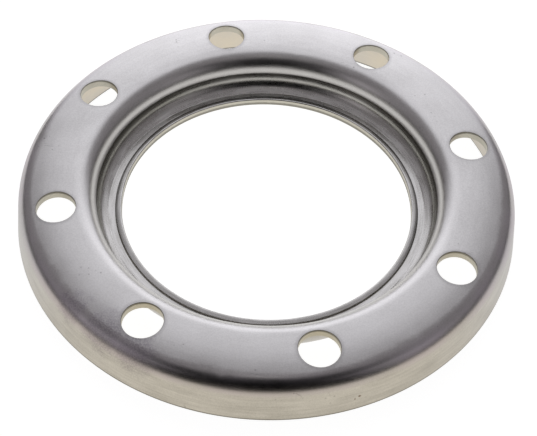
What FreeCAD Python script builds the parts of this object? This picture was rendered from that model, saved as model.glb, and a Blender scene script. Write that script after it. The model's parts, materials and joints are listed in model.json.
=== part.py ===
import FreeCAD, Part
import math
import os

import Sketcher

# Pressed loose flange for a 159 mm pipe and its collar.
# One disc of steel sheet is drawn into an upturned channel: a skirt hangs from the outer edge
# of a flat bolt plate, and a dished collar hangs from its inner edge and ends at the bore.
# The skirt opens towards its rim. Under a sharp crease the dish is hollowed out by one arc,
# which a short ramp leads down to its level floor, and a lip stands round the bore.
# Millimetres, +Z up. The origin lies on the flange's axis in the plane that the skirt's rim
# stands on. Widths add up from the bore outwards, and heights from the skirt's rim upwards.
# With these values the bolt circle is 240 mm and the flange 287 mm over its skirt's rim.

NODE = "pressed_flange"

# Driving dimensions
DIMENSIONS = (
    ("bore_diameter", 168.0, "of the hole for the pipe"),
    ("lip_width", 3.8, "from the bore out to the corner where the dish's floor begins"),
    ("floor_width", 3.8, "of the dish's level floor"),
    ("hollow_width", 6.2, "from that floor out to the crease above the hollow"),
    ("inner_inside_bend", 7.4, "inside radius of the bend between dish and bolt plate"),
    ("bolt_hole_diameter", 22.0, "for M20 bolts"),
    ("hole_into_bend", 1.2, "by which each bolt hole reaches into that bend"),
    ("outer_margin", 0.5, "of level plate between a bolt hole and the outer bend"),
    ("outer_inside_bend", 4.6, "inside radius of the bend between bolt plate and skirt"),
    ("skirt_draft", 7.5, "degrees by which the skirt opens towards its rim"),
    ("sheet_thickness", 5.0, "of the sheet before and after pressing"),
    ("bolt_hole_count", 8, "evenly spaced"),
    ("first_hole_angle", 22.5, "degrees from +X, so the holes straddle both centre lines"),
    ("overall_height", 27.4, "from the skirt's rim to the top of the bolt plate"),
    ("foot_height", 0.5, "of the flat underside below the dish"),
    ("foot_overhang", 5.4, "by which that underside reaches out beyond the dish's floor"),
    ("floor_thickness", 3.0, "of the steel under the dish's floor"),
    ("lip_rise", 1.8, "of the lip's top above that floor"),
    ("ramp_slope", 31.0, "degrees of the ramp between floor and hollow"),
    ("hollow_undercut", 0.42, "by which the hollow reaches out beyond the crease above it"),
    ("lip_nose_radius", 0.6, "of the lip's rounded edge"),
    ("crease_radius", 0.3, "in the creases of the dish"),
    ("rim_rounding", 0.8, "of the trimmed edges of the skirt and of the bore"),
    ("hole_rounding", 0.6, "of the bolt holes' upper edges"),
)
SIZE = {name: value for name, value, _ in DIMENSIONS}

# Marks of a sketch element that a constraint names
START = 1
END = 2
CENTRE = 3
ORIGIN = (-1, 1)
FLOOR_LINE = -1

EDGE_TOLERANCE = 1e-4


def fill_sheet(doc):
    """Write each driving dimension into the sheet under its own name."""
    sheet = doc.addObject("Spreadsheet::Sheet", "dimensions")
    for row, (name, value, meaning) in enumerate(DIMENSIONS, start=1):
        sheet.set(f"A{row}", name)
        sheet.set(f"B{row}", str(value))
        sheet.set(f"C{row}", meaning)
        sheet.setAlias(f"B{row}", name)
    doc.recompute()
    return sheet


def total(*names):
    """Give the expression that adds up sizes on the sheet."""
    return " + ".join(f"dimensions.{name}" for name in names)


def origin_feature(body, role):
    """Give the body's own plane or axis that has this role."""
    for feature in body.Origin.OriginFeatures:
        if feature.Role == role:
            return feature
    raise RuntimeError(f"{body.Label} has no {role}")


def new_sketch(body, name, role):
    """Start a sketch on one of the body's own planes."""
    sketch = body.newObject("Sketcher::SketchObject", name)
    sketch.AttachmentSupport = [(origin_feature(body, role), "")]
    sketch.MapMode = "FlatFace"
    return sketch


def line(sketch, start, end, helper=False):
    """Add a straight stretch, or a helping line that makes no face, and give its number."""
    first = FreeCAD.Vector(start[0], start[1], 0)
    last = FreeCAD.Vector(end[0], end[1], 0)
    return sketch.addGeometry(Part.LineSegment(first, last), helper)


def arc(sketch, centre, radius, from_degrees, to_degrees):
    """Add an anticlockwise arc and give its number."""
    circle = Part.Circle(FreeCAD.Vector(centre[0], centre[1], 0), FreeCAD.Vector(0, 0, 1), radius)
    span = (math.radians(from_degrees), math.radians(to_degrees))
    return sketch.addGeometry(Part.ArcOfCircle(circle, *span), False)


def around(centre, radius, degrees):
    """Give the place at an angle round a centre."""
    turn = math.radians(degrees)
    return centre[0] + radius * math.cos(turn), centre[1] + radius * math.sin(turn)


def as_drawn(sketch, kind, places):
    """Measure what a dimension would be on the sketch as first drawn."""
    if kind == "Radius":
        return sketch.Geometry[places[0]].Radius
    if kind == "Diameter":
        return 2 * sketch.Geometry[places[0]].Radius
    if kind == "Angle":
        way = sketch.Geometry[places[0]].EndPoint - sketch.Geometry[places[0]].StartPoint
        return math.atan2(way.y, way.x)
    step = sketch.getPoint(*places[2:]) - sketch.getPoint(*places[:2])
    return step.x if kind == "DistanceX" else step.y


def bind(sketch, kind, *places, to):
    """Add a dimension to the sketch and tie it to an expression on the sheet."""
    value = as_drawn(sketch, kind, places)
    number = sketch.addConstraint(Sketcher.Constraint(kind, *places, value))
    sketch.setExpression(f"Constraints[{number}]", to)


def hollow_arc(ramp_foot, slope, crease, undercut):
    """Give the centre and radius of the hollow's arc.

    The arc ends at the crease (x, y), touches the ramp and reaches out to x + undercut. With u for
    the undercut its centre lies at (x + u - r, y + a r + b), where a = (1 - sin slope) / cos slope
    and b = (x + u - foot x) tan slope - (y - foot y). The radius is the smaller root of
    (a r + b)^2 - 2 u r + u^2 = 0.
    """
    a = (1 - math.sin(slope)) / math.cos(slope)
    b = (crease[0] + undercut - ramp_foot[0]) * math.tan(slope) - (crease[1] - ramp_foot[1])
    half = undercut - a * b
    radius = (half - math.sqrt(half**2 - a**2 * (b**2 + undercut**2))) / a**2
    return (crease[0] + undercut - radius, crease[1] + a * radius + b), radius


def draw_section(body):
    """Draw half of the section: X is the radius and Y the height.

    The sketch comes back with its corners that are eased later, as pairs of element and end.
    """
    sketch = new_sketch(body, "section", "XZ_Plane")

    # Places where the section is first drawn, before its dimensions are bound to the sheet
    top = SIZE["overall_height"]
    sheet = SIZE["sheet_thickness"]
    inner_bend = SIZE["inner_inside_bend"] + sheet
    outer_bend = SIZE["outer_inside_bend"] + sheet
    bore = SIZE["bore_diameter"] / 2
    foot = SIZE["foot_height"]
    floor_start = (bore + SIZE["lip_width"], foot + SIZE["floor_thickness"])
    ramp_foot = (floor_start[0] + SIZE["floor_width"], floor_start[1])
    crease = (ramp_foot[0] + SIZE["hollow_width"], top - inner_bend)
    inner_centre = (crease[0] + inner_bend, crease[1])
    plate_width = SIZE["bolt_hole_diameter"] - SIZE["hole_into_bend"] + SIZE["outer_margin"]
    outer_centre = (inner_centre[0] + plate_width, top - outer_bend)
    nose = SIZE["lip_nose_radius"]
    nose_centre = (bore + nose, floor_start[1] + SIZE["lip_rise"] - nose)
    rise = nose_centre[1] + nose - floor_start[1]
    lip_top_angle = 90 - math.degrees(math.atan2(rise, floor_start[0] - nose_centre[0]))
    lip_top = around(nose_centre, nose, lip_top_angle)

    # The hollow, with its back round the same centre and touching the bend's back
    slope = SIZE["ramp_slope"]
    undercut = SIZE["hollow_undercut"]
    centre, radius = hollow_arc(ramp_foot, math.radians(slope), crease, undercut)
    crease_angle = math.degrees(math.atan2(crease[1] - centre[1], crease[0] - centre[0]))
    back_radius = math.dist(centre, inner_centre) - SIZE["inner_inside_bend"]
    back_end = math.degrees(math.atan2(inner_centre[1] - centre[1], inner_centre[0] - centre[0]))
    foot_end = (ramp_foot[0] + SIZE["foot_overhang"], foot)
    towards = math.degrees(math.atan2(foot_end[1] - centre[1], foot_end[0] - centre[0]))
    touch = towards + math.degrees(math.acos(back_radius / math.dist(centre, foot_end)))

    # The skirt, whose two faces stand at its draft
    draft = SIZE["skirt_draft"]
    skirt_top = around(outer_centre, outer_bend, draft)
    skirt_top_back = around(outer_centre, outer_bend - sheet, draft)
    opening = math.tan(math.radians(draft))
    skirt = skirt_top[0] + skirt_top[1] * opening
    skirt_back = skirt_top_back[0] + skirt_top_back[1] * opening

    # Upper side, from the skirt's rim inwards to the bore
    skirt_face = line(sketch, (skirt, 0), skirt_top)
    outer_face_bend = arc(sketch, outer_centre, outer_bend, draft, 90)
    plate_face = line(sketch, (outer_centre[0], top), (inner_centre[0], top))
    inner_face_bend = arc(sketch, inner_centre, inner_bend, 90, 180)
    hollow_face = arc(sketch, centre, radius, slope - 90, crease_angle)
    ramp_face = line(sketch, ramp_foot, around(centre, radius, slope - 90))
    floor_face = line(sketch, ramp_foot, floor_start)
    widest = line(sketch, centre, (centre[0] + radius, centre[1]), helper=True)
    lip_face = line(sketch, floor_start, lip_top)
    lip_nose = arc(sketch, nose_centre, nose, lip_top_angle, 180)
    bore_face = line(sketch, (bore, nose_centre[1]), (bore, foot))

    # Underside, from the bore outwards to the skirt's rim
    foot_face = line(sketch, (bore, foot), foot_end)
    foot_flank = line(sketch, foot_end, around(centre, back_radius, touch))
    hollow_back = arc(sketch, centre, back_radius, touch, back_end)
    inner_back_bend = arc(sketch, inner_centre, inner_bend - sheet, 90, 180 + back_end)
    plate_back_face = line(sketch, (inner_centre[0], top - sheet), (outer_centre[0], top - sheet))
    outer_back_bend = arc(sketch, outer_centre, outer_bend - sheet, draft, 90)
    skirt_back_face = line(sketch, skirt_top_back, (skirt_back, 0))
    rim_face = line(sketch, (skirt_back, 0), (skirt, 0))

    # Stretches that run into each other without a corner
    for first, first_end, second, second_end in (
        (skirt_face, END, outer_face_bend, START),
        (outer_face_bend, END, plate_face, START),
        (plate_face, END, inner_face_bend, START),
        (hollow_face, START, ramp_face, END),
        (lip_face, END, lip_nose, START),
        (lip_nose, END, bore_face, START),
        (foot_flank, END, hollow_back, START),
        (hollow_back, END, inner_back_bend, END),
        (inner_back_bend, START, plate_back_face, START),
        (plate_back_face, END, outer_back_bend, END),
        (outer_back_bend, START, skirt_back_face, START),
    ):
        sketch.addConstraint(Sketcher.Constraint("Tangent", first, first_end, second, second_end))

    # Stretches that meet at a corner, and bends round one centre
    for first, first_end, second, second_end in (
        (inner_face_bend, END, hollow_face, END),
        (ramp_face, START, floor_face, START),
        (floor_face, END, lip_face, START),
        (bore_face, END, foot_face, START),
        (foot_face, END, foot_flank, START),
        (skirt_back_face, END, rim_face, START),
        (rim_face, END, skirt_face, START),
        (outer_back_bend, CENTRE, outer_face_bend, CENTRE),
        (inner_back_bend, CENTRE, inner_face_bend, CENTRE),
        (hollow_back, CENTRE, hollow_face, CENTRE),
        (widest, START, hollow_face, CENTRE),
    ):
        sketch.addConstraint(Sketcher.Constraint("Coincident", first, first_end, second, second_end))

    # Level and upright stretches; the inner bend ends upright, and the rim lies on the floor line
    for level in (foot_face, floor_face, widest, plate_face, plate_back_face):
        sketch.addConstraint(Sketcher.Constraint("Horizontal", level))
    sketch.addConstraint(Sketcher.Constraint("Vertical", bore_face))
    sketch.addConstraint(
        Sketcher.Constraint("Horizontal", inner_face_bend, END, inner_face_bend, CENTRE)
    )
    for end in (START, END):
        sketch.addConstraint(Sketcher.Constraint("PointOnObject", rim_face, end, FLOOR_LINE))
    sketch.addConstraint(Sketcher.Constraint("PointOnObject", widest, END, hollow_face))
    sketch.addConstraint(Sketcher.Constraint("Parallel", skirt_back_face, skirt_face))

    # Radii of the bends; the level plate carries the sheet's thickness in to the dish
    bind(sketch, "Radius", outer_back_bend, to=total("outer_inside_bend"))
    bind(sketch, "Radius", outer_face_bend, to=total("outer_inside_bend", "sheet_thickness"))
    bind(sketch, "Radius", inner_back_bend, to=total("inner_inside_bend"))
    bind(sketch, "Radius", lip_nose, to=total("lip_nose_radius"))

    # Widths, from the axis outwards
    plate = f"{total('bolt_hole_diameter', 'outer_margin')} - {total('hole_into_bend')}"
    bind(sketch, "DistanceX", *ORIGIN, bore_face, END, to=f"{total('bore_diameter')} / 2")
    bind(sketch, "DistanceX", bore_face, END, lip_face, START, to=total("lip_width"))
    bind(sketch, "DistanceX", lip_face, START, ramp_face, START, to=total("floor_width"))
    bind(sketch, "DistanceX", ramp_face, START, foot_face, END, to=total("foot_overhang"))
    bind(sketch, "DistanceX", ramp_face, START, hollow_face, END, to=total("hollow_width"))
    bind(sketch, "DistanceX", hollow_face, END, widest, END, to=total("hollow_undercut"))
    bind(sketch, "DistanceX", plate_face, END, plate_face, START, to=plate)

    # Heights, from the floor line upwards, and the two slopes
    lip_centre = f"{total('lip_rise')} - {total('lip_nose_radius')}"
    bind(sketch, "DistanceY", *ORIGIN, foot_face, START, to=total("foot_height"))
    bind(sketch, "DistanceY", foot_face, START, lip_face, START, to=total("floor_thickness"))
    bind(sketch, "DistanceY", lip_face, START, lip_nose, CENTRE, to=lip_centre)
    bind(sketch, "DistanceY", *ORIGIN, plate_face, END, to=total("overall_height"))
    bind(sketch, "Angle", ramp_face, to="dimensions.ramp_slope * 1 deg")
    bind(sketch, "Angle", skirt_face, to="90 deg + dimensions.skirt_draft * 1 deg")

    creases = [(hollow_face, END), (ramp_face, START), (lip_face, START)]
    rims = [(rim_face, START), (rim_face, END), (foot_face, START)]
    return sketch, creases, rims


def revolve_section(body, sketch):
    """Turn the section once around the flange's axis."""
    pressing = body.newObject("PartDesign::Revolution", "pressing")
    pressing.Profile = sketch
    pressing.ReferenceAxis = (sketch, ["V_Axis"])
    pressing.Angle = 360.0
    return pressing


def punch_bolt_holes(body):
    """Punch one bolt hole down through the plate and repeat it around the axis."""
    sketch = new_sketch(body, "bolt_hole_outline", "XY_Plane")
    sketch.setExpression(".AttachmentOffset.Base.z", total("overall_height"))
    radial = ("lip_width", "floor_width", "hollow_width", "inner_inside_bend", "sheet_thickness")
    hole_radius = SIZE["bolt_hole_diameter"] / 2
    reach = SIZE["bore_diameter"] / 2 + sum(SIZE[name] for name in radial)
    reach += hole_radius - SIZE["hole_into_bend"]
    angle = math.radians(SIZE["first_hole_angle"])
    middle = FreeCAD.Vector(reach * math.cos(angle), reach * math.sin(angle), 0)
    hole = sketch.addGeometry(Part.Circle(middle, FreeCAD.Vector(0, 0, 1), hole_radius), False)
    halves = f"({total('bore_diameter', 'bolt_hole_diameter')}) / 2"
    bolt_circle_radius = f"({halves} + {total(*radial)} - {total('hole_into_bend')})"
    turn = "(dimensions.first_hole_angle * 1 deg)"
    bind(sketch, "Diameter", hole, to=total("bolt_hole_diameter"))
    bind(sketch, "DistanceX", *ORIGIN, hole, CENTRE, to=f"{bolt_circle_radius} * cos{turn}")
    bind(sketch, "DistanceY", *ORIGIN, hole, CENTRE, to=f"{bolt_circle_radius} * sin{turn}")

    punched = body.newObject("PartDesign::Pocket", "bolt_hole")
    punched.Profile = sketch
    punched.Type = "Length"
    punched.setExpression("Length", total("overall_height"))

    ring = body.newObject("PartDesign::PolarPattern", "bolt_holes")
    ring.Originals = [punched]
    ring.Axis = (origin_feature(body, "Z_Axis"), [""])
    ring.Angle = 360.0
    ring.setExpression("Occurrences", "dimensions.bolt_hole_count")
    body.Tip = ring
    return ring


def round_edge_names(shape, wanted):
    """Name the circular edges whose radius and height are among those wanted."""
    names = []
    for number, edge in enumerate(shape.Edges, start=1):
        if not isinstance(edge.Curve, Part.Circle):
            continue
        for radius, height in wanted:
            near_radius = abs(edge.Curve.Radius - radius) < EDGE_TOLERANCE
            near_height = abs(edge.Curve.Center.z - height) < EDGE_TOLERANCE
            if near_radius and near_height:
                names.append(f"Edge{number}")
    return names


def round_edges(body, name, base, wanted, alias):
    """Round the wanted circular edges of a finished feature."""
    names = round_edge_names(base.Shape, wanted)
    if not names:
        raise RuntimeError(f"{name} finds no edge to round")
    rounding = body.newObject("PartDesign::Fillet", name)
    rounding.Base = (base, names)
    rounding.setExpression("Radius", f"dimensions.{alias}")
    body.Tip = rounding
    return rounding


def finish_edges(doc, body, base, section, creases, rims):
    """Ease the creases of the dish, the trimmed rims and the bolt holes' upper edges."""
    crease_places = [(point.x, point.y) for point in (section.getPoint(*c) for c in creases)]
    rim_places = [(point.x, point.y) for point in (section.getPoint(*r) for r in rims)]
    hole_mouths = [(SIZE["bolt_hole_diameter"] / 2, SIZE["overall_height"])]
    for name, wanted, alias in (
        ("eased_creases", crease_places, "crease_radius"),
        ("eased_rims", rim_places, "rim_rounding"),
        ("eased_hole_mouths", hole_mouths, "hole_rounding"),
    ):
        base = round_edges(body, name, base, wanted, alias)
        doc.recompute()
    return base


def model_flange(doc):
    """Model the flange as it is made: pressed, punched, then eased at its edges."""
    body = doc.addObject("PartDesign::Body", NODE)
    body.Label = NODE
    section, creases, rims = draw_section(body)
    pressing = revolve_section(body, section)
    doc.recompute()
    holes = punch_bolt_holes(body)
    doc.recompute()
    if holes.Shape.Volume >= pressing.Shape.Volume:
        raise RuntimeError("the bolt holes remove nothing")
    finish_edges(doc, body, holes, section, creases, rims)
    return body


def check_document(doc, parts):
    """Stop if any object failed, or if a sub-part is empty or broken."""
    for item in doc.Objects:
        if "Invalid" in item.State or "Error" in item.State:
            raise RuntimeError(f"{item.Label} failed: {item.State}")
    for part in parts:
        if part.Shape.isNull() or not part.Shape.isValid():
            raise RuntimeError(f"{part.Label} has no sound shape")


def main():
    """Build the document and write each sub-part's solid."""
    doc = FreeCAD.newDocument("loose_flange")
    fill_sheet(doc)
    parts = [model_flange(doc)]
    doc.recompute()
    check_document(doc, parts)
    os.makedirs("parts", exist_ok=True)
    for part in parts:
        part.Shape.exportStep(os.path.join("parts", f"{part.Label}.step"))
        print(f"{part.Label}: {len(part.Shape.Solids)} solid, {part.Shape.Volume:.0f} mm3")


main()
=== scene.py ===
import json
import logging
import math
from dataclasses import dataclass
from enum import Enum
from typing import Any

import bpy
import numpy as np
from mathutils import Matrix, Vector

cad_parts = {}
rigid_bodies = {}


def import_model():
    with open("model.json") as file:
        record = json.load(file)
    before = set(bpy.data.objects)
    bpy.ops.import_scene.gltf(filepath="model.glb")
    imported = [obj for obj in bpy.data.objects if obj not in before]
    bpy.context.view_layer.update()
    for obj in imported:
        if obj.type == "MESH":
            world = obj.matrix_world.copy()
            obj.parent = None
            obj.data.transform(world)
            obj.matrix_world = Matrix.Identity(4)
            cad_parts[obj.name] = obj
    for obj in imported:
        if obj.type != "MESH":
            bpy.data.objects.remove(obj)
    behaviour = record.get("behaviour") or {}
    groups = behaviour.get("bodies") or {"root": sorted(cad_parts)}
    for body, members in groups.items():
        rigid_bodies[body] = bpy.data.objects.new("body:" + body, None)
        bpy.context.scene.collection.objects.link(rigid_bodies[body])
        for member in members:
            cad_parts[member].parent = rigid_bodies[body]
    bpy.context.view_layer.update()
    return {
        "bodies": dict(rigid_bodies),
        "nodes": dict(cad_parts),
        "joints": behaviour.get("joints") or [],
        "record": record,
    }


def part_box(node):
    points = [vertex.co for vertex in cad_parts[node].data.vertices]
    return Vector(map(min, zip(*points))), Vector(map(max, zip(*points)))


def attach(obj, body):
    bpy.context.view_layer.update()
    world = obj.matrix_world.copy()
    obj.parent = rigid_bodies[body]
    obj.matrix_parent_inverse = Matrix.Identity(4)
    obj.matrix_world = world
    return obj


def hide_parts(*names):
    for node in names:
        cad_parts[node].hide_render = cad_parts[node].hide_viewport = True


# A pressed stainless loose flange, lying dish up on a white table in a small light tent.
# Metres, +Z up. The origin lies on the flange's axis in the plane that the skirt's rim stands on.

LOG = logging.getLogger("loose_flange")
MM = 0.001
NODE = "pressed_flange"
# Degrees round the axis by which the camera, and the tent with it, stands off the flange's -Y side.
CAMERA_TURN = 8.13

Pair = tuple[float, float]
Triple = tuple[float, float, float]
Socket = bpy.types.NodeSocket


class Surface(Enum):
    """The finishes of the flange, in the order of its material slots."""

    SHEET = 0
    CUT = 1
    TURNED = 2
    SKIRT = 3


class Level(Enum):
    """The two sides of the bolt plate."""

    UPPER = 1
    LOWER = -1


@dataclass(frozen=True)
class FlangeSizes:
    """The flange's driving sizes in metres and radians, those of the frame first.

    Off its crest the plate drops by a fall times the square of the distance. A net gives the
    distances from the axis between which the nets of faces round the holes cover the plate.
    """

    outer_radius: float
    height: float
    bore_radius: float
    bolt_circle_radius: float
    hole_radius: float
    hole_count: int
    first_hole_angle: float = math.radians(22.5)
    sheet: float = 5.0 * MM
    skirt_flare: float = math.radians(7.5)
    shoulder_radius: float = 132.6 * MM
    lower_bend: float = 11.5 * MM
    bend_change: float = math.radians(45.0)
    crest_radius: float = 117.5 * MM
    outward_fall: float = 3.8
    inward_fall: float = 3.3
    inner_bend: float = 12.4 * MM
    lip_width: float = 3.8 * MM
    floor_width: float = 3.8 * MM
    hollow_width: float = 6.2 * MM
    hollow_undercut: float = 0.42 * MM
    ramp_slope: float = math.radians(31.0)
    foot_height: float = 0.5 * MM
    foot_start: float = 3.0 * MM
    foot_overhang: float = 5.4 * MM
    floor_thickness: float = 3.0 * MM
    lip_rise: float = 1.7 * MM
    lip_step: float = 1.3 * MM
    lip_flank: float = 0.5 * MM
    crease_rounding: float = 0.3 * MM
    step_rounding: float = 0.15 * MM
    lip_nose: float = 0.8 * MM
    rim_rounding: float = 0.8 * MM
    rim_overrun: float = 0.1 * MM
    mouth_rounding: float = 0.25 * MM
    burr_rounding: float = 0.25 * MM
    upper_net: Pair = (104.8 * MM, 137.0 * MM)
    lower_net: Pair = (106.6 * MM, 134.0 * MM)

    @classmethod
    def from_frame(cls, frame: dict[str, Any]) -> "FlangeSizes":
        """Read the sizes that the frame states.


        Returns:
            The flange's sizes.
        """
        mounts = {mount["name"]: mount["dims"] for mount in frame["record"]["mounts"]}
        low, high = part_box(NODE)
        return cls(
            outer_radius=min(high[0] - low[0], high[1] - low[1]) / 2 + cls.rim_overrun,
            height=high[2],
            bore_radius=mounts["bore"]["r_mm"] * MM,
            bolt_circle_radius=mounts["bolt_holes"]["pcd_mm"] / 2 * MM,
            hole_radius=mounts["bolt_holes"]["hole_r_mm"] * MM,
            hole_count=int(mounts["bolt_holes"]["count"]),
        )


def turn_arc(centre: Pair, radius: float, start: float, end: float, steps: int) -> np.ndarray:
    """Sample an arc of the section: centre + radius * (cos a, sin a) for a from start to end.

    Args:
        centre: radius and height of the arc's centre.
        radius: of the arc.
        start: first angle in radians.
        end: last angle in radians.
        steps: number of stretches.

    Returns:
        One row of radius and height per point.
    """
    angle = np.linspace(start, end, steps + 1)
    return np.stack([centre[0] + radius * np.cos(angle), centre[1] + radius * np.sin(angle)], axis=1)


def straight(start: Pair, end: Pair, steps: int) -> np.ndarray:
    """Sample a straight stretch of the section: start + t * (end - start) for t from 0 to 1."""
    share = np.linspace(0.0, 1.0, steps + 1)[:, None]
    return np.array(start) + share * (np.array(end) - np.array(start))


def ease_corners(
    points: np.ndarray, corners: dict[int, float], steps: int, most: float = 0.45, guard: float = 1.6
) -> np.ndarray:
    """Round some corners of an open line of points.

    A corner C between the unit directions u (back along the line) and v (on along it) is replaced
    by the parabola C + u*d*(1-t)^2 + v*d*t^2 for t from 0 to 1, where d = radius / tan(half angle)
    is where a round of that radius would touch. A guard point on each side of it keeps the faces
    beyond flat to the eye.

    Args:
        points: rows of radius and height.
        corners: radius of the rounding by the corner's place in the line.
        steps: number of stretches in each rounding.
        most: share of the distance to the next point that d may take up.
        guard: distance from the corner to each guard point, in d.

    Returns:
        The line with the rounded corners.
    """
    pieces = []
    share = np.linspace(0.0, 1.0, steps + 1)[:, None]
    for place, point in enumerate(points):
        if place not in corners:
            pieces.append(point[None, :])
            continue
        back, forth = points[place - 1] - point, points[place + 1] - point
        back_length, forth_length = np.linalg.norm(back), np.linalg.norm(forth)
        back, forth = back / back_length, forth / forth_length
        half_angle = 0.5 * math.acos(float(np.clip(back @ forth, -1.0, 1.0)))
        reach = min(corners[place] / math.tan(half_angle), most * back_length, most * forth_length)
        pieces.append((point + back * reach * guard)[None, :])
        pieces.append(point + back * reach * (1 - share) ** 2 + forth * reach * share**2)
        pieces.append((point + forth * reach * guard)[None, :])
    return np.concatenate(pieces)


def join_line(pieces: list[np.ndarray], roundings: dict[int, float], steps: int) -> np.ndarray:
    """Join stretches, each of which starts where the one before ends, and round some joints.

    Args:
        pieces: the stretches, as rows of radius and height.
        roundings: radius of the rounding by the number of the stretch that ends in the joint.
        steps: number of stretches in each rounding.

    Returns:
        The whole line.
    """
    line = np.concatenate([pieces[0], *(piece[1:] for piece in pieces[1:])])
    ends = np.cumsum([len(piece) - 1 for piece in pieces])
    return ease_corners(line, {int(ends[place]): radius for place, radius in roundings.items()}, steps)


class Section:
    """Half of the flange's section, worked out from its sizes.

    The plate is crowned: its top falls from the crest by a constant times the square of the
    distance to it. The outer bend touches the plate at the shoulder and the flared skirt below.
    The inner bend touches the plate and ends upright at a sharp crease. Below it the dish is
    hollowed out by one arc, which a ramp leads down to the level floor, and a lip stands round
    the bore. The hidden side keeps the sheet's thickness down to the back of the hollow.
    """

    def __init__(self, sizes: FlangeSizes) -> None:
        """Work out the places of the bends, the groove and the lip.

        Args:
            sizes: of the flange.
        """
        s = sizes
        self.sizes = s
        tilt = math.atan(2 * s.outward_fall * (s.shoulder_radius - s.crest_radius))
        shoulder_height = s.height - s.outward_fall * (s.shoulder_radius - s.crest_radius) ** 2
        self.outer_bend = self.upper_bend_radius(tilt, shoulder_height)
        self.outer_centre = (
            s.shoulder_radius - self.outer_bend * math.sin(tilt),
            shoulder_height - self.outer_bend * math.cos(tilt),
        )
        self.outer_tilt = tilt
        step = self.outer_bend - s.lower_bend
        self.lower_centre = (
            self.outer_centre[0] + step * math.cos(s.bend_change),
            self.outer_centre[1] + step * math.sin(s.bend_change),
        )
        self.groove = (s.bore_radius + s.lip_width, s.foot_height + s.floor_thickness)
        self.ramp_foot = (self.groove[0] + s.floor_width, self.groove[1])
        throat = self.ramp_foot[0] + s.hollow_width
        centre_radius = throat + s.inner_bend
        inner_tilt = math.atan(2 * s.inward_fall * (s.crest_radius - centre_radius))
        start = centre_radius - s.inner_bend * math.sin(inner_tilt)
        start_height = s.height - s.inward_fall * (s.crest_radius - start) ** 2
        self.inner_centre = (centre_radius, start_height - s.inner_bend * math.cos(inner_tilt))
        self.inner_tilt = inner_tilt
        self.crease = (throat, self.inner_centre[1])
        self.hollow_centre, self.hollow_radius = self.hollow()

    def upper_bend_radius(self, tilt: float, shoulder_height: float) -> float:
        """Work out the outer bend's upper radius, so that the lower one ends on the skirt.

        The bend turns from the plate's tilt to the change c with this radius r, and on to the flare
        f with the lower radius q. On the skirt, distance + height * tan f is the outer radius, so
        r (cos c - sin tilt - tan f (cos tilt - sin c)) is what the shoulder and q leave over.

        Args:
            tilt: of the plate at the shoulder.
            shoulder_height: at which the bend starts.

        Returns:
            The upper radius.
        """
        s = self.sizes
        slope, sine, cosine = math.tan(s.skirt_flare), math.sin(s.bend_change), math.cos(s.bend_change)
        left = s.outer_radius - s.shoulder_radius - slope * shoulder_height
        lower = math.cos(s.skirt_flare) - cosine - slope * (sine - math.sin(s.skirt_flare))
        upper = cosine - math.sin(tilt) - slope * (math.cos(tilt) - sine)
        return (left - s.lower_bend * lower) / upper

    def height_at(self, radius: np.ndarray, level: Level) -> np.ndarray:
        """Give the height of the bolt plate and of the bends that run into it.

        On the crowned stretch it is h - k (r - crest)^2, and on a bend of radius R about (c, z) it
        is z + sqrt(R^2 - (r - c)^2), with the sheet's thickness taken off R and h below.

        Args:
            radius: distances from the axis.
            level: upper or lower side.

        Returns:
            The height at each distance.
        """
        s = self.sizes
        off = 0.0 if level is Level.UPPER else s.sheet
        fall = np.where(radius > s.crest_radius, s.outward_fall, s.inward_fall)
        height = s.height - off - fall * (radius - s.crest_radius) ** 2
        outer, inner = self.outer_bend - off, s.inner_bend - off
        outer_start = self.outer_centre[0] + outer * math.sin(self.outer_tilt)
        inner_start = self.inner_centre[0] - inner * math.sin(self.inner_tilt)
        for centre, bend, beyond in (
            (self.inner_centre, inner, radius < inner_start),
            (self.outer_centre, outer, radius > outer_start),
        ):
            along = np.clip(np.abs(radius - centre[0]) / bend, 0.0, 1.0)
            height = np.where(beyond, centre[1] + bend * np.sqrt(1.0 - along**2), height)
        return height

    @staticmethod
    def bend_angle(radius: float, centre: Pair, bend: float) -> float:
        """Give the angle at which a bend reaches a distance from the axis."""
        return math.acos((radius - centre[0]) / bend)

    def hollow(self) -> tuple[Pair, float]:
        """Work out the hollow's arc.

        It ends at the crease (x, y), touches the ramp and reaches out to x + u, the undercut. Its
        centre is (x + u - r, y + a r + b) with a = (1 - sin slope) / cos slope and
        b = (x + u - foot x) tan slope - (y - foot y), where r is the smaller root of
        (a r + b)^2 - 2 u r + u^2 = 0.

        Returns:
            The arc's centre and radius.
        """
        slope, under = self.sizes.ramp_slope, self.sizes.hollow_undercut
        widest = self.crease[0] + under
        a = (1 - math.sin(slope)) / math.cos(slope)
        b = (widest - self.ramp_foot[0]) * math.tan(slope) - (self.crease[1] - self.ramp_foot[1])
        half = under - a * b
        radius = (half - math.sqrt(half**2 - a**2 * (b**2 + under**2))) / a**2
        return (widest - radius, self.crease[1] + a * radius + b), radius

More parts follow.
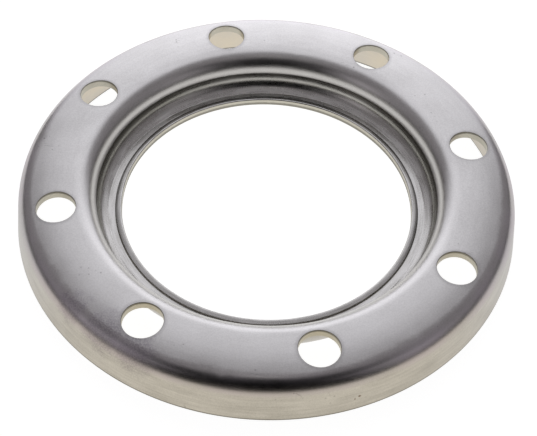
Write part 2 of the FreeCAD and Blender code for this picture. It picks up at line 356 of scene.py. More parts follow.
    def dish(self) -> np.ndarray:
        """Give the upper side from the bolt plate inwards and down to the bore's lower edge.

        The lip's top touches its round nose. With d from the nose's centre to the lip's outer edge,
        it falls outwards by asin(nose / d) less the angle at which that edge lies above the centre.

        Returns:
            Rows of radius and height.
        """
        s = self.sizes
        start = self.bend_angle(s.upper_net[0], self.inner_centre, s.inner_bend)
        centre = self.hollow_centre
        upper = math.atan2(self.crease[1] - centre[1], self.crease[0] - centre[0])
        hollow = turn_arc(centre, self.hollow_radius, upper, s.ramp_slope - math.pi / 2, steps=18)
        nose_centre = (s.bore_radius + s.lip_nose, self.groove[1] + s.lip_rise - s.lip_nose)
        lip_edge = (self.groove[0] - s.lip_flank, self.groove[1] + s.lip_step)
        slope = math.atan2(nose_centre[1] - lip_edge[1], lip_edge[0] - nose_centre[0])
        slope += math.asin(s.lip_nose / math.dist(lip_edge, nose_centre))
        nose = turn_arc(nose_centre, s.lip_nose, math.pi / 2 - slope, math.pi, steps=7)
        bore_foot = (s.bore_radius, s.foot_height)
        pieces = [
            turn_arc(self.inner_centre, s.inner_bend, start, math.pi, steps=18),
            hollow,
            straight(tuple(hollow[-1]), self.ramp_foot, steps=4),
            straight(self.ramp_foot, self.groove, steps=6),
            straight(self.groove, lip_edge, steps=2),
            straight(lip_edge, tuple(nose[0]), steps=3),
            nose,
            straight((s.bore_radius, nose_centre[1]), bore_foot, steps=2),
            straight(bore_foot, (s.bore_radius + s.foot_start, s.foot_height), steps=1),
        ]
        crease, step = s.crease_rounding, s.step_rounding
        return join_line(pieces, {0: crease, 2: crease, 3: step, 4: step, 7: s.rim_rounding}, steps=4)

    def underside(self) -> np.ndarray:
        """Give the lower side from the foot near the bore outwards and up to the bolt plate.

        The foot's flank touches the hollow's back, and that back touches the back of the bend.

        Returns:
            Rows of radius and height.
        """
        s = self.sizes
        centre = self.hollow_centre
        back = math.dist(centre, self.inner_centre) - (s.inner_bend - s.sheet)
        upper = math.atan2(self.inner_centre[1] - centre[1], self.inner_centre[0] - centre[0])
        end = (self.ramp_foot[0] + s.foot_overhang, s.foot_height)
        touch = math.atan2(end[1] - centre[1], end[0] - centre[0])
        touch += math.acos(back / math.dist(centre, end))
        hollow_back = turn_arc(centre, back, touch, upper, steps=12)
        top = self.bend_angle(s.lower_net[0], self.inner_centre, s.inner_bend - s.sheet)
        pieces = [
            straight((s.bore_radius + s.foot_start, s.foot_height), end, steps=5),
            straight(end, tuple(hollow_back[0]), steps=4),
            hollow_back,
            turn_arc(self.inner_centre, s.inner_bend - s.sheet, math.pi + upper, top, steps=9),
        ]
        return join_line(pieces, {0: s.crease_rounding}, steps=3)

    def skirt(self) -> np.ndarray:
        """Give the skirt from the plate's underside down, round its rim and up to the plate's top.

        Returns:
            Rows of radius and height.
        """
        s = self.sizes
        flare, change = s.skirt_flare, s.bend_change
        inner = self.outer_bend - s.sheet
        low = self.bend_angle(s.lower_net[1], self.outer_centre, inner)
        high = self.bend_angle(s.upper_net[1], self.outer_centre, self.outer_bend)
        rim_inside = (s.outer_radius - s.sheet / math.cos(flare), 0.0)
        rim_outside = (s.outer_radius, 0.0)
        inside_bend = turn_arc(self.lower_centre, s.lower_bend - s.sheet, change, flare, steps=6)
        outside_bend = turn_arc(self.lower_centre, s.lower_bend, flare, change, steps=12)
        pieces = [
            turn_arc(self.outer_centre, inner, low, change, steps=3),
            inside_bend,
            straight(tuple(inside_bend[-1]), rim_inside, steps=7),
            straight(rim_inside, rim_outside, steps=2),
            straight(rim_outside, tuple(outside_bend[0]), steps=7),
            outside_bend,
            turn_arc(self.outer_centre, self.outer_bend, change, high, steps=4),
        ]
        return join_line(pieces, {2: s.rim_rounding, 3: s.rim_rounding}, steps=5)


class MeshParts:
    """Grids of points gathered into one closed mesh."""

    def __init__(self) -> None:
        """Start with no points."""
        self.points: list[np.ndarray] = []
        self.faces: list[np.ndarray] = []
        self.finishes: list[np.ndarray] = []
        self.count = 0

    def add_grid(self, grid: np.ndarray, finish: Surface | np.ndarray, flip: bool = False) -> None:
        """Add a grid that closes on itself along its first direction.

        Args:
            grid: points with the shape (around, along, 3).
            finish: one finish for all, or the finish's number for each step along.
            flip: turn the faces over.
        """
        around, along = grid.shape[:2]
        index = self.count + np.arange(around * along).reshape(around, along)
        after = np.roll(index, -1, axis=0)
        corners = [index[:, :-1], after[:, :-1], after[:, 1:], index[:, 1:]]
        quads = np.stack(corners[::-1] if flip else corners, axis=-1)
        numbers = finish.value if isinstance(finish, Surface) else finish[None, :]
        self.finishes.append(np.broadcast_to(numbers, (around, along - 1)).ravel())
        self.points.append(grid.reshape(-1, 3))
        self.faces.append(quads.reshape(-1, 4))
        self.count += around * along

    def build(self, name: str, merge: float) -> bpy.types.Object:
        """Weld the grids where their edges meet and make the object.

        Args:
            name: of the object and its mesh.
            merge: distance under which points are one.

        Returns:
            The object, smooth and linked to the scene.
        """
        points = np.concatenate(self.points)
        keys = np.round(points / merge).astype(np.int64)
        _, first, inverse = np.unique(keys, axis=0, return_index=True, return_inverse=True)
        faces = inverse.reshape(-1)[np.concatenate(self.faces)]
        whole = (faces != np.roll(faces, 1, axis=1)).all(axis=1)
        mesh = bpy.data.meshes.new(name)
        mesh.from_pydata(points[first].tolist(), [], faces[whole].tolist())
        mesh.polygons.foreach_set("material_index", np.concatenate(self.finishes)[whole].astype(np.int32))
        mesh.polygons.foreach_set("use_smooth", np.ones(int(whole.sum()), dtype=bool))
        mesh.update()
        item = bpy.data.objects.new(name, mesh)
        bpy.context.scene.collection.objects.link(item)
        return item


class PressedFlange:
    """The whole flange: one disc of sheet, drawn, punched and trimmed.

    Around and side are the steps of a sector's border, layers those from a hole to it, mouth steps
    and wall steps those down a hole. The margins set where a finish ends: past the bore's radius,
    above the foot and the rim, past the crease, below the floor and above the lower bend's centre.
    """

    around = 40
    side = 16
    layers = 14
    layer_growth = 1.6
    even_share = 0.72
    mouth_steps = 4
    wall_steps = 5
    merge = 2e-6
    bore_margin = 0.08 * MM
    foot_margin = 0.01 * MM
    rim_margin = 0.4 * MM
    crease_margin = 0.6 * MM
    floor_margin = 0.5 * MM
    skirt_margin = 3.0 * MM

    def __init__(self, sizes: FlangeSizes) -> None:
        """Keep the sizes and work out the section.

        Args:
            sizes: of the flange.
        """
        self.sizes = sizes
        self.section = Section(sizes)
        self.sector = 2 * math.pi / sizes.hole_count

    def revolve(self, line: np.ndarray) -> np.ndarray:
        """Turn a line of the section round the axis: (r cos a, r sin a, z) for each angle a.

        Args:
            line: rows of radius and height.

        Returns:
            Points with the shape (around, along, 3).
        """
        steps = self.around * self.sizes.hole_count
        start = self.sizes.first_hole_angle - self.sector / 2
        angle = (start + 2 * math.pi * np.arange(steps) / steps)[:, None]
        radius, height = np.broadcast_to(line.T[:, None, :], (2, steps, len(line)))
        return np.stack([radius * np.cos(angle), radius * np.sin(angle), height], axis=-1)

    def sector_border(self, reach: Pair) -> np.ndarray:
        """Walk once round a hole's sector of the plate, as distance from the axis and angle.

        Args:
            reach: the sector's least and greatest distance from the axis.

        Returns:
            One row of distance and angle per point, anticlockwise from the outer right corner.
        """
        low, high = reach
        half = self.sector / 2
        arc = -half + self.sector * np.arange(self.around) / self.around
        rise = np.arange(self.side) / self.side
        outer = np.stack([np.full(self.around, high), arc], axis=1)
        left = np.stack([high + (low - high) * rise, np.full(self.side, half)], axis=1)
        inner = np.stack([np.full(self.around, low), -arc], axis=1)
        right = np.stack([low + (high - low) * rise, np.full(self.side, -half)], axis=1)
        return np.concatenate([outer, left, inner, right])

    def plate_sector(self, number: int, level: Level) -> np.ndarray:
        """Spread a net from a bolt hole's edge to the border of its sector.

        Each spoke runs from a point of the circle round the hole to a point B of the border, at
        circle + (B - circle) * t^growth for t from 0 to 1. The circle's angles are part even, part
        those in which B lies. The height is the section's at each point's distance from the axis.

        Args:
            number: of the hole.
            level: upper or lower side.

        Returns:
            Points with the shape (around the hole, outwards, 3), the hole's edge first.
        """
        s = self.sizes
        border = self.sector_border(s.upper_net if level is Level.UPPER else s.lower_net)
        rounding = s.mouth_rounding if level is Level.UPPER else s.burr_rounding
        edge_x = border[:, 0] * np.cos(border[:, 1]) - s.bolt_circle_radius
        edge_y = border[:, 0] * np.sin(border[:, 1])
        towards = np.unwrap(np.arctan2(edge_y, edge_x))
        count = len(border)
        shift = np.interp(0.0, towards, np.arange(count))
        even = 2 * math.pi * (np.arange(count) - shift) / count
        angle = self.even_share * even + (1 - self.even_share) * towards
        ring = s.hole_radius + rounding
        share = (np.arange(self.layers + 1) / self.layers)[None, :] ** self.layer_growth
        start_x, start_y = (ring * np.cos(angle))[:, None], (ring * np.sin(angle))[:, None]
        x = start_x + (edge_x[:, None] - start_x) * share + s.bolt_circle_radius
        y = start_y + (edge_y[:, None] - start_y) * share
        z = self.section.height_at(np.hypot(x, y), level)
        turn = s.first_hole_angle + number * self.sector
        cosine, sine = math.cos(turn), math.sin(turn)
        return np.stack([x * cosine - y * sine, x * sine + y * cosine, z], axis=-1)

    def hole_wall(self, upper: np.ndarray, lower: np.ndarray, number: int) -> np.ndarray:
        """Join a hole's upper and lower edges by a rounded mouth, a wall and a small burr edge.

        With c the hole's radius and e a rounding, the mouth runs at distance c + e (1 - sin a) and
        e (1 - cos a) below its edge for a from 0 to 90 degrees, and the burr edge the same way up.

        Args:
            upper: points of the mouth's outer edge.
            lower: points of the burr's outer edge.
            number: of the hole.

        Returns:
            Points with the shape (around the hole, downwards, 3).
        """
        s = self.sizes
        angle = s.first_hole_angle + number * self.sector
        middle = s.bolt_circle_radius * np.array([math.cos(angle), math.sin(angle)])
        turn = np.linspace(0.0, math.pi / 2, self.mouth_steps + 1)
        rings = []
        for edge, rounding, way in ((upper, s.mouth_rounding, -1.0), (lower, s.burr_rounding, 1.0)):
            flat = edge[:, :2] - middle
            unit = flat / np.linalg.norm(flat, axis=1, keepdims=True)
            distance = s.hole_radius + rounding * (1 - np.sin(turn))
            drop = way * rounding * (1 - np.cos(turn))
            plane = middle + unit[:, None, :] * distance[None, :, None]
            height = edge[:, 2][:, None] + drop[None, :]
            rings.append(np.concatenate([plane, height[..., None]], axis=-1))
        mouth, burr = rings[0], rings[1][:, ::-1]
        share = np.linspace(0.0, 1.0, self.wall_steps + 1)[1:-1][None, :, None]
        wall = mouth[:, -1:] + (burr[:, :1] - mouth[:, -1:]) * share
        return np.concatenate([mouth, wall, burr], axis=1)

    def build(self) -> bpy.types.Object:
        """Make the flange's mesh from its turned stretches, plate sectors and hole walls.

        Returns:
            The flange as one closed object.
        """
        parts = MeshParts()
        dish, skirt, underside = self.section.dish(), self.section.skirt(), self.section.underside()
        parts.add_grid(self.revolve(dish), self.finish_of(dish))
        parts.add_grid(self.revolve(underside), Surface.SHEET)
        parts.add_grid(self.revolve(skirt), self.finish_of(skirt))
        for number in range(self.sizes.hole_count):
            upper = self.plate_sector(number, Level.UPPER)
            lower = self.plate_sector(number, Level.LOWER)
            parts.add_grid(upper, Surface.SHEET, flip=True)
            parts.add_grid(lower, Surface.SHEET)
            parts.add_grid(self.hole_wall(upper[:, 0], lower[:, 0], number), Surface.CUT)
        flange = parts.build("steel_flange", self.merge)
        LOG.info("flange: %d faces", len(flange.data.polygons))
        return flange

    def finish_of(self, line: np.ndarray) -> np.ndarray:
        """Tell the cut bore and rim, the dish's recess and the drawn skirt from the plain sheet.

        Args:
            line: rows of radius and height.

        Returns:
            The finish's number for each step along the line.
        """
        s, section = self.sizes, self.section
        radius, height = ((line[1:] + line[:-1]) / 2).T
        bore = (radius < s.bore_radius + self.bore_margin) & (height > s.foot_height + self.foot_margin)
        rim = height < self.rim_margin
        recess = (radius < section.crease[0] + self.crease_margin) & (height < section.crease[1])
        recess &= height > section.groove[1] - self.floor_margin
        skirt = radius > section.lower_centre[0]
        skirt &= height < section.lower_centre[1] + self.skirt_margin
        finish = np.where(recess, Surface.TURNED.value, Surface.SHEET.value)
        finish = np.where(skirt, Surface.SKIRT.value, finish)
        return np.where(bore | rim, Surface.CUT.value, finish)


def rgba(red: float, green: float, blue: float) -> tuple[float, float, float, float]:
    """Give a colour with full alpha."""
    return (red, green, blue, 1.0)


class Tint(Enum):
    """The colours that wear, rust, haze, paper and painted light and shade lay over the steel and the
    table.
    """

    WHITE = rgba(1.0, 1.0, 1.0)
    PAPER = rgba(0.92, 0.90, 0.86)
    HAZE = rgba(0.16, 0.155, 0.15)
    TORN = rgba(0.20, 0.19, 0.16)
    SPECKS = rgba(0.20, 0.16, 0.22)
    BARE = rgba(0.17, 0.16, 0.15)
    RUST = rgba(0.22, 0.13, 0.07)
    BLOOM = rgba(0.575, 0.50, 0.575)
    # Painted reflection: a lighter, warmer colour for the skirt's inner face, in place of the lit table
    # it mirrors.
    INSIDE = rgba(0.72, 0.645, 0.52)
    # Painted shade along the skirt's lowest edge.
    RIM = rgba(0.13, 0.125, 0.11)
    # Painted shade in the upper part of the dish's hollow.
    HOLLOW = rgba(0.22, 0.215, 0.18)
    # Painted shade as a dark line in the groove round the lip.
    GROOVE = rgba(0.09, 0.085, 0.075)


@dataclass(frozen=True)
class Blot:
    """A worn place: its middle on the flange and its reach, in millimetres."""

    middle: Triple
    reach: float


RUBBED_BLOTS = (
    Blot((-64.5, -121.2, 23.9), 17.0),
    Blot((-47.0, -130.0, 23.4), 17.0),
    Blot((-84.0, -108.0, 23.9), 12.0),
)
RUST_BLOTS = (Blot((69.5, -124.4, 10.0), 1.1), Blot((67.3, -125.6, 8.6), 0.7))
# Share of a blot's reach out to which it is full.
BLOT_CORE = 0.35


class NodeWeb:
    """Short ways to add nodes to a shader tree."""

    def __init__(self, tree: bpy.types.NodeTree) -> None:
        """Keep the tree that gets the nodes."""
        self.tree = tree

    def add(self, kind: str, **settings: Any) -> bpy.types.Node:
        """Add a node and set its own settings.

        Args:
            kind: Blender's name for the node's type.
            settings: value by the setting's name.

        Returns:
            The node.
        """
        node = self.tree.nodes.new(kind)
        for name, value in settings.items():
            setattr(node, name, value)
        return node

    def feed(self, socket: Socket, value: Any) -> None:
        """Link an output to an input, or set the input's own value.

        Args:
            socket: the input.
            value: an output's socket, a tint or a plain value.
        """
        if isinstance(value, Socket):
            self.tree.links.new(value, socket)
        else:
            socket.default_value = value.value if isinstance(value, Tint) else value

    def feed_all(self, node: bpy.types.Node, values: tuple[Any, ...]) -> Socket:
        """Feed a node's first inputs.

        Args:
            node: the node.
            values: for its inputs, in their order.

        Returns:
            The node's first output.
        """
        for place, value in enumerate(values):
            self.feed(node.inputs[place], value)
        return node.outputs[0]

    def math(self, operation: str, *values: Any, clamp: bool = False) -> Socket:
        """Work out a number from one, two or three others."""
        return self.feed_all(self.add("ShaderNodeMath", operation=operation, use_clamp=clamp), values)

    def plus(self, first: Any, second: Any) -> Socket:
        """Add two numbers."""
        return self.math("ADD", first, second)

    def minus(self, first: Any, second: Any) -> Socket:
        """Take the second number from the first."""
        return self.math("SUBTRACT", first, second)

    def times(self, first: Any, *others: Any) -> Socket:
        """Multiply numbers.

        Args:
            first: the first number.
            others: the numbers to multiply it by, in turn.

        Returns:
            The product.
        """
        for other in others:
            first = self.math("MULTIPLY", first, other)
        return first

    def length(self, first: Any, second: Any) -> Socket:
        """Give the square root of the sum of two squares."""
        return self.math("SQRT", self.plus(self.times(first, first), self.times(second, second)))

    def ramp(self, value: Any, low: Any, high: Any, start: Any = 0.0, end: Any = 1.0) -> Socket:
        """Ease smoothly from start at low to end at high."""
        node = self.add("ShaderNodeMapRange", interpolation_type="SMOOTHSTEP")
        return self.feed_all(node, (value, low, high, start, end))

    def blend(self, share: Any, first: Any, second: Any) -> Socket:
        """Mix two colours, whose inputs are the node's seventh and eighth.

        Args:
            share: of the second colour.
            first: colour.
            second: colour.

        Returns:
            The mixed colour.
        """
        node = self.add("ShaderNodeMix", data_type="RGBA")
        for place, value in ((0, share), (6, first), (7, second)):
            self.feed(node.inputs[place], value)
        return node.outputs[2]

    def noise(self, vector: Any, scale: Any, detail: float = 2.0, roughness: float = 0.5) -> Socket:
        """Give a soft noise between 0 and 1.

        Args:
            vector: where it is read.
            scale: of its waves, per metre on plain coordinates.
            detail: number of finer layers.
            roughness: weight of the finer layers.

        Returns:
            The noise.
        """
        node = self.add("ShaderNodeTexNoise")
        values = {"Vector": vector, "Scale": scale, "Detail": detail, "Roughness": roughness}
        for name, value in values.items():
            self.feed(node.inputs[name], value)
        return node.outputs[0]

    def combine(self, x: Any, y: Any, z: Any) -> Socket:
        """Put three numbers together as a vector."""
        return self.feed_all(self.add("ShaderNodeCombineXYZ"), (x, y, z))

    def place(self) -> Socket:
        """Give the point's place in the object's own frame."""
        return self.add("ShaderNodeTexCoord").outputs["Object"]

    def axes(self) -> tuple[Socket, Socket, Socket]:
        """Take the point's place in the object's own frame apart.

        Returns:
            Its x, y and z.
        """
        node = self.add("ShaderNodeSeparateXYZ")
        self.feed(node.inputs[0], self.place())
        return tuple(node.outputs)

    def blots(self, blots: tuple[Blot, ...], ragged: Any = 0.0) -> Socket:
        """Give a mask round some places of the object.

        Args:
            blots: the places and their reaches.
            ragged: metres to add to the distance, which makes the edge uneven.

        Returns:
            The mask: 1 in each blot's core, 0 past its reach.
        """
        mask: Any = 0.0
        for blot in blots:
            node = self.add("ShaderNodeVectorMath", operation="DISTANCE")
            self.feed_all(node, (self.place(), tuple(value * MM for value in blot.middle)))
            distance = self.plus(node.outputs["Value"], ragged)
            one = self.ramp(distance, BLOT_CORE * blot.reach * MM, blot.reach * MM, 1.0, 0.0)
            mask = self.math("MAXIMUM", mask, one)
        return mask

    def group(self, tree: bpy.types.NodeTree, **values: Any) -> bpy.types.NodeOutputs:
        """Place a node group.

        Args:
            tree: the group.
            values: for its inputs, by name.

        Returns:
            The placed group's outputs.
        """
        node = self.add("ShaderNodeGroup", node_tree=tree)
        for name, value in values.items():
            self.feed(node.inputs[name], value)
        return node.outputs

    def mix_shaders(self, share: Any, first: Socket, second: Socket) -> Socket:
        """Mix two shaders."""
        return self.feed_all(self.add("ShaderNodeMixShader"), (share, first, second))

    def glow(self, colour: Any, strength: Any) -> Socket:
        """Give off light."""
        return self.feed_all(self.add("ShaderNodeEmission"), (colour, strength))

    def end(self, shader: Socket) -> None:
        """Lead a shader to the material's surface."""
        self.feed(self.add("ShaderNodeOutputMaterial").inputs[0], shader)


class Effects:
    """The shader node groups that the finishes share, each built once.

    Their inputs are metres, radians, waves per metre or plain shares, and each output is a mask or
    a tone between 0 and 1.
    """

    def __init__(self, sizes: FlangeSizes) -> None:
        """Build the groups.

        Args:
            sizes: of the flange.
        """
        self.sizes = sizes
        self.drawn_lines = self.make_drawn_lines()
        self.mottle = self.make_mottle()
        self.hole_haze = self.make_hole_haze()
        self.cut_zones = self.make_cut_zones()
        self.wear = self.make_wear()
        self.bend_bloom = self.make_bend_bloom()
        self.recess_shade = self.make_recess_shade()
        self.rim_line = self.make_rim_line()
        self.inner_face = self.make_inner_face()

    @staticmethod
    def start(name: str, inputs: dict[str, float], outputs: tuple[str, ...]) -> tuple[NodeWeb, Any, Any]:
        """Start a group with named numbers in and out.

        Args:
            name: of the group.
            inputs: default value by input name.
            outputs: names of the outputs.

        Returns:
            The web to add nodes with, the group's inputs and its output node's sockets.
        """
        tree = bpy.data.node_groups.new(name, "ShaderNodeTree")
        for label, value in inputs.items():
            socket = tree.interface.new_socket(label, in_out="INPUT", socket_type="NodeSocketFloat")
            socket.default_value = value
        for label in outputs:
            tree.interface.new_socket(label, in_out="OUTPUT", socket_type="NodeSocketFloat")
        web = NodeWeb(tree)
        return web, web.add("NodeGroupInput").outputs, web.add("NodeGroupOutput").inputs

    def make_drawn_lines(self) -> bpy.types.NodeTree:
        """Make fine lines that run round the axis, as drawing and turning leave them.

        The noise is read at (x/r, y/r, (r + z) * density), so that it hardly changes along a turn
        and changes quickly across it.

        Returns:
            The group.
        """
        given = {"Density": 900.0, "Waver": 6.0, "Streak Density": 0.21}
        web, given, made = self.start("drawn_lines", given, ("Lines", "Streaks"))
        x, y, z = web.axes()
        radius = web.length(x, y)
        across = web.times(web.plus(radius, z), given["Density"])
        unit_x = web.times(web.math("DIVIDE", x, radius), given["Waver"])
        unit_y = web.times(web.math("DIVIDE", y, radius), given["Waver"])
        coarse = web.times(across, given["Streak Density"])
        web.feed(made["Lines"], web.noise(web.combine(unit_x, unit_y, across), 1.0, 3.0, 0.6))
        web.feed(made["Streaks"], web.noise(web.combine(unit_x, unit_y, coarse), 1.0))
        return web.tree

    def make_mottle(self) -> bpy.types.NodeTree:
        """Make the cloudy tone and the fine grain of pickled sheet.

        Returns:
            The group.
        """
        given = {"Cloud": 45.0, "Grain": 1300.0}
        web, given, made = self.start("mottle", given, ("Clouds", "Grain"))
        web.feed(made["Clouds"], web.noise(web.place(), given["Cloud"], detail=4.0))
        web.feed(made["Grain"], web.noise(web.place(), given["Grain"], detail=3.0))
        return web.tree

    def make_hole_haze(self) -> bpy.types.NodeTree:
        """Make the grey haze round the bolt holes.

        With a the angle from +X, the turn to the nearest hole is (t - round(t)) * sector, where
        t = (a - first hole) / sector. Haze falls off over the distance to that hole's edge.

        Returns:
            The group.
        """
        given = {
            "Circle": self.sizes.bolt_circle_radius,
            "Hole": self.sizes.hole_radius,
            "Sector": 2 * math.pi / self.sizes.hole_count,
            "First": self.sizes.first_hole_angle,
            "Ragged": 1.6 * MM,
            "Full": -0.6 * MM,
            "End": 1.8 * MM,
        }
        web, given, made = self.start("hole_haze", given, ("Haze",))
        x, y, _ = web.axes()
        radius = web.length(x, y)
        steps = web.minus(web.math("ARCTAN2", y, x), given["First"])
        steps = web.math("DIVIDE", steps, given["Sector"])
        turn = web.times(web.minus(steps, web.math("ROUND", steps)), given["Sector"])
        along = web.minus(web.times(radius, web.math("COSINE", turn)), given["Circle"])
        aside = web.times(radius, web.math("SINE", turn))
        gap = web.minus(web.length(along, aside), given["Hole"])
        uneven = web.noise(web.place(), 260.0, 3.0)
        gap = web.minus(gap, web.times(uneven, given["Ragged"]))
        web.feed(made["Haze"], web.ramp(gap, given["Full"], given["End"], 1.0, 0.0))
        return web.tree

    def make_cut_zones(self) -> bpy.types.NodeTree:
        """Make the dark bands of the punched edges, along each hole's mouth and low in the bore.

        Both bands end at an uneven height, the mouth's within its edge above and below it, and the
        bore's between two heights above it. The split parts the holes from the bore.

        Returns:
            The group.
        """
        given = {"Hole Band": 26.4 * MM, "Bore Band": 2.7 * MM, "Split": 12.0 * MM, "Ragged": 0.9 * MM}
        given.update({"Mouth Edge": 0.3 * MM, "Bore Full": 0.2 * MM, "Bore End": 0.9 * MM})
        web, given, made = self.start("cut_zones", given, ("Torn",))
        x, y, z = web.axes()
        height = web.plus(z, web.times(web.noise(web.combine(x, y, 0.0), 420.0, 3.0), given["Ragged"]))
        in_hole = web.math("GREATER_THAN", z, given["Split"])
        edge = given["Mouth Edge"]
        upper = web.ramp(web.minus(height, given["Hole Band"]), web.times(edge, -1.0), edge)
        lower = web.minus(height, given["Bore Band"])
        lower = web.ramp(lower, given["Bore Full"], given["Bore End"], 1.0, 0.0)
        lower = web.times(lower, web.minus(1.0, in_hole))
        web.feed(made["Torn"], web.math("MAXIMUM", web.times(upper, in_hole), lower))
        return web.tree

    def make_wear(self) -> bpy.types.NodeTree:
        """Make the worn places: a rubbed patch on the front bend, pits, scratches and a rust spot.

        Returns:
            The group.
        """
        given = {"Ragged": 16.0 * MM, "Pits": 240.0}
        web, given, made = self.start("wear", given, ("Rubbed", "Pits", "Scratches", "Rust"))
        ragged = web.minus(web.noise(web.place(), 190.0, 3.0), 0.5)
        web.feed(made["Rubbed"], web.blots(RUBBED_BLOTS, web.times(ragged, given["Ragged"])))
        web.feed(made["Rust"], web.blots(RUST_BLOTS))
        pits = web.add("ShaderNodeTexVoronoi", feature="F1", distance="EUCLIDEAN")
        web.feed(pits.inputs["Vector"], web.place())
        web.feed(pits.inputs["Scale"], given["Pits"])
        rare = web.ramp(web.noise(web.place(), 42.0), 0.56, 0.66)
        small = web.ramp(pits.outputs["Distance"], 0.10, 0.17, 1.0, 0.0)
        web.feed(made["Pits"], web.times(small, rare))
        x, y, z = web.axes()
        thin = web.noise(web.combine(web.times(x, 90.0), web.times(y, 1500.0), z), 1.0)
        web.feed(made["Scratches"], web.times(web.ramp(thin, 0.66, 0.72), rare))
        return web.tree

    def make_bend_bloom(self) -> bpy.types.NodeTree:
        """Make the mask of the outer bend, which starts past a distance and above a height.

        Returns:
            The group.
        """
        given = {"Out": 131.0 * MM, "Out Full": 139.0 * MM, "Up": 16.5 * MM, "Up Full": 20.5 * MM}
        web, given, made = self.start("bend_bloom", given, ("Bend",))
        x, y, z = web.axes()
        out = web.ramp(web.length(x, y), given["Out"], given["Out Full"])
        web.feed(made["Bend"], web.times(out, web.ramp(z, given["Up"], given["Up Full"])))
        return web.tree

    def make_recess_shade(self) -> bpy.types.NodeTree:
        """Make painted shade: darker in the hollow's upper part and a dark line in the groove round the
        lip.

        The painted shade is deeper on the flange's left and right, and the line is fainter at the front.

        Returns:
            The group.
        """
        given = {"Low": 4.5 * MM, "High": 10.0 * MM, "Middle": 30.0 * MM, "Aside": 90.0 * MM}
        given.update({"Groove": 87.1 * MM, "Line": 0.4 * MM, "Line End": 1.2 * MM, "Front": -70.0 * MM})
        web, given, made = self.start("recess_shade", given, ("Hollow", "Groove"))
        x, y, z = web.axes()
        rise = web.minus(given["High"], given["Low"])
        stain = web.math("DIVIDE", web.minus(z, given["Low"]), rise, clamp=True)
        aside = web.ramp(web.math("ABSOLUTE", x), given["Middle"], given["Aside"], 0.3, 1.0)
        web.feed(made["Hollow"], web.times(stain, aside))
        gap = web.math("ABSOLUTE", web.minus(web.length(x, y), given["Groove"]))
        line = web.ramp(gap, given["Line"], given["Line End"], 1.0, 0.0)
        web.feed(made["Groove"], web.times(line, web.ramp(y, given["Front"], 0.0, 0.05, 1.0)))
        return web.tree

    def make_inner_face(self) -> bpy.types.NodeTree:
        """Make the mask of the skirt's inner face, where radius + height * flare is under a limit; a
        painted reflection goes there.

        Returns:
            The group.
        """
        given = {"Limit": 140.9 * MM, "Flare": math.tan(self.sizes.skirt_flare)}
        web, given, made = self.start("inner_face", given, ("Inside",))
        x, y, z = web.axes()
        level = web.plus(web.length(x, y), web.times(z, given["Flare"]))
        web.feed(made["Inside"], web.math("LESS_THAN", level, given["Limit"]))
        return web.tree

    def make_rim_line(self) -> bpy.types.NodeTree:
        """Make the mask of a painted shade: a dark line along the lowest edge of the skirt.

        Returns:
            The group.
        """
        given = {"Full": 1.0 * MM, "End": 1.6 * MM, "Bore": 120.0 * MM}
        web, given, made = self.start("rim_line", given, ("Line",))
        x, y, z = web.axes()
        outside = web.math("GREATER_THAN", web.length(x, y), given["Bore"])
        web.feed(made["Line"], web.times(outside, web.ramp(z, given["Full"], given["End"], 1.0, 0.0)))
        return web.tree


class SteelCoat(NodeWeb):
    """A steel material while it is built: its nodes, and the colour, roughness and height so far."""

    def __init__(self, name: str, effects: Effects) -> None:
        """Start a metal material with the sheet's clouds and grain.

        Args:
            name: of the material.
            effects: the shared node groups.
        """
        self.material = bpy.data.materials.new(name)
        self.material.use_nodes = True
        super().__init__(self.material.node_tree)
        mottle = self.group(effects.mottle)
        self.clouds, self.grain = mottle["Clouds"], mottle["Grain"]
        self.colour: Any = Tint.WHITE
        self.rough: Any = 0.0
        self.height: Any = 0.0

    def lift(self, mask: Any, height: float) -> None:
        """Add to the height where a mask is."""
        self.height = self.math("MULTIPLY_ADD", mask, height, self.height)

    def lay(self, mask: Any, share: Any, tint: Tint, rough: float = 0.0, height: float = 0.0) -> None:
        """Lay a tint where a mask is, and change the roughness and the grain's height there.

        Args:
            mask: where.
            share: of the tint in the colour.
            tint: the colour.
            rough: added roughness.
            height: added height of the grain, in metres.
        """
        self.colour = self.blend(self.times(mask, share), self.colour, tint)
        if rough:
            self.rough = self.math("MULTIPLY_ADD", mask, rough, self.rough)
        if height:
            self.lift(self.times(mask, self.grain), height)

    def clouded(self, least: float, most: float) -> Socket:
        """Give a share that grows from least to most in the clouds of the sheet."""
        return self.ramp(self.clouds, 0.35, 0.65, least, most)

    def close(self) -> bpy.types.Material:
        """Lead the colour, roughness and height to the shader.

        Returns:
            The finished material.
        """
        shader = self.tree.nodes["Principled BSDF"]
        shader.inputs["Metallic"].default_value = 1.0
        bump = self.add("ShaderNodeBump")
        bump.inputs["Strength"].default_value = 1.0
        bump.inputs["Distance"].default_value = 1.0
        self.feed(bump.inputs["Height"], self.height)
        self.feed(shader.inputs["Base Color"], self.colour)
        self.feed(shader.inputs["Roughness"], self.rough)
        self.feed(shader.inputs["Normal"], bump.outputs[0])
        return self.material


